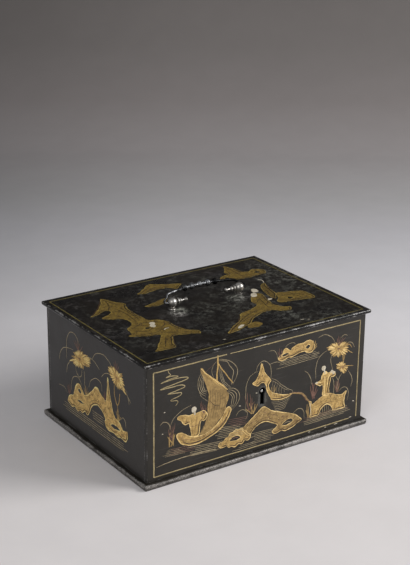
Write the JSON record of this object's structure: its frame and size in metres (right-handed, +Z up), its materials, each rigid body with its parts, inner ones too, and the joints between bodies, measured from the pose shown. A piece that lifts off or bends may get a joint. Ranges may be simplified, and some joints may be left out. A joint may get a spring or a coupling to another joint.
{
  "type": "cast iron casket",
  "caption": "Rectangular iron casket with a flat hinged lid, turned bail handle and inside box lock, lacquered black with gilt chinoiserie landscapes.",
  "frame": {"origin": "middle of the underside of the case, between the front and rear walls", "axes": "+X to the right along the front, +Y to the rear, +Z up; the front faces -Y"},
  "size_m": [0.2904, 0.2228, 0.1572],
  "materials": {
    "lacquered_iron": "black lacquer over cast iron, worn at the edges",
    "gilt": "rubbed gold paint",
    "shell_inlay": "pale shell flakes and painted faces",
    "handle_steel": "polished steel gone dark in its hollows",
    "bright_steel": "bright steel",
    "dark_iron": "bare iron, dark"
  },
  "bodies": {
    "case": {"base_plate": "lacquered_iron", "front_wall": "lacquered_iron", "rear_wall": "lacquered_iron", "left_wall": "lacquered_iron", "right_wall": "lacquered_iron", "wall_screw_01": "dark_iron", "wall_screw_02": "dark_iron", "wall_screw_03": "dark_iron", "wall_screw_04": "dark_iron", "wall_screw_05": "dark_iron", "wall_screw_06": "dark_iron", "wall_screw_07": "dark_iron", "wall_screw_08": "dark_iron", "base_screw_01": "dark_iron", "base_screw_02": "dark_iron", "base_screw_03": "dark_iron", "base_screw_04": "dark_iron", "lock_plate": "dark_iron", "lock_case": "dark_iron", "lock_screw_01": "dark_iron", "lock_screw_02": "dark_iron", "lock_screw_03": "dark_iron", "lock_screw_04": "dark_iron", "key_pin": "bright_steel", "bolt_stud_left": "dark_iron", "bolt_stud_right": "dark_iron", "bolt_spring": "bright_steel", "hinge_case_leaf_left": "dark_iron", "hinge_case_leaf_right": "dark_iron", "hinge_pin_left": "bright_steel", "hinge_pin_right": "bright_steel", "hinge_rivet_01": "dark_iron", "hinge_rivet_02": "dark_iron", "hinge_rivet_03": "dark_iron", "hinge_rivet_04": "dark_iron"},
    "lid": {"lid_plate": "lacquered_iron", "hinge_lid_leaf_left": "dark_iron", "hinge_lid_leaf_right": "dark_iron", "leaf_screw_01": "dark_iron", "leaf_screw_02": "dark_iron", "leaf_screw_03": "dark_iron", "leaf_screw_04": "dark_iron", "catch_plate": "dark_iron", "catch_screw_01": "dark_iron", "catch_screw_02": "dark_iron", "handle_post_left": "handle_steel", "handle_post_right": "handle_steel", "handle_washer_left": "dark_iron", "handle_washer_right": "dark_iron", "handle_nut_left": "dark_iron", "handle_nut_right": "dark_iron"},
    "bail": {"handle_bail": "handle_steel", "bail_finial_left": "handle_steel", "bail_finial_right": "handle_steel"},
    "bolt": {"lock_bolt": "dark_iron"}
  },
  "joints": [
    {"name": "lid_hinge", "type": "hinge", "parent": "case", "child": "lid", "pos_m": [0, 0.1069, 0.1296], "axis": [-1, 0, 0], "range_deg": [0, 100]},
    {"name": "bail_pivot", "type": "hinge", "parent": "lid", "child": "bail", "pos_m": [0.0065, 0.009, 0.1447], "axis": [1, 0, 0], "range_deg": [-48, 162]},
    {"name": "bolt_slide", "type": "slide", "parent": "case", "child": "bolt", "axis": [1, 0, 0], "range_m": [0, 0.008]}
  ]
}
